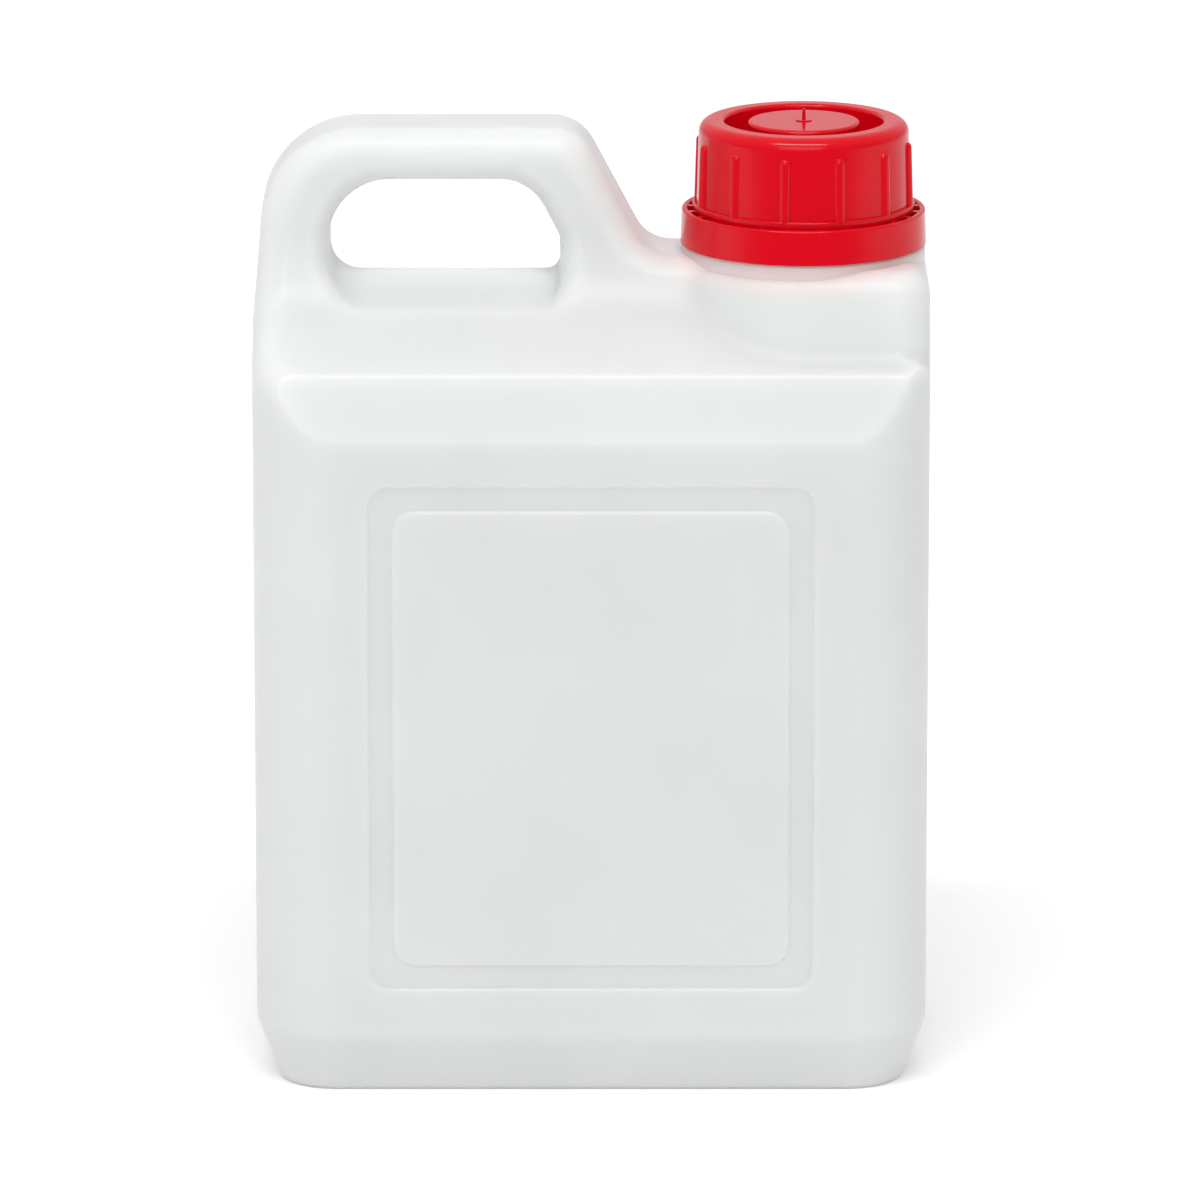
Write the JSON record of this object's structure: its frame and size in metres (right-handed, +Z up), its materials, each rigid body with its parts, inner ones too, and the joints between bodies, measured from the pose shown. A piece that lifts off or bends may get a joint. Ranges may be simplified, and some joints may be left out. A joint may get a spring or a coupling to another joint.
{
  "type": "jerrycan",
  "caption": "Upright rectangular plastic jerrycan with a moulded grip, framed label panels front and back, and an offset neck closed by a ribbed screw cap with a tamper band.",
  "frame": {"origin": "on the floor, at the middle of the can's width and depth", "axes": "+Z up, +X across the can from the grip towards the neck, +Y from the front face to the back face"},
  "size_m": [0.1488, 0.088, 0.2139],
  "materials": {
    "can": "natural high density polyethylene, milky, satin from the blow mould",
    "closure": "red injection moulded polyethylene, glossy"
  },
  "bodies": {
    "root": {"can_body": "can", "screw_cap": "closure", "tamper_band": "closure"}
  },
  "joints": []
}
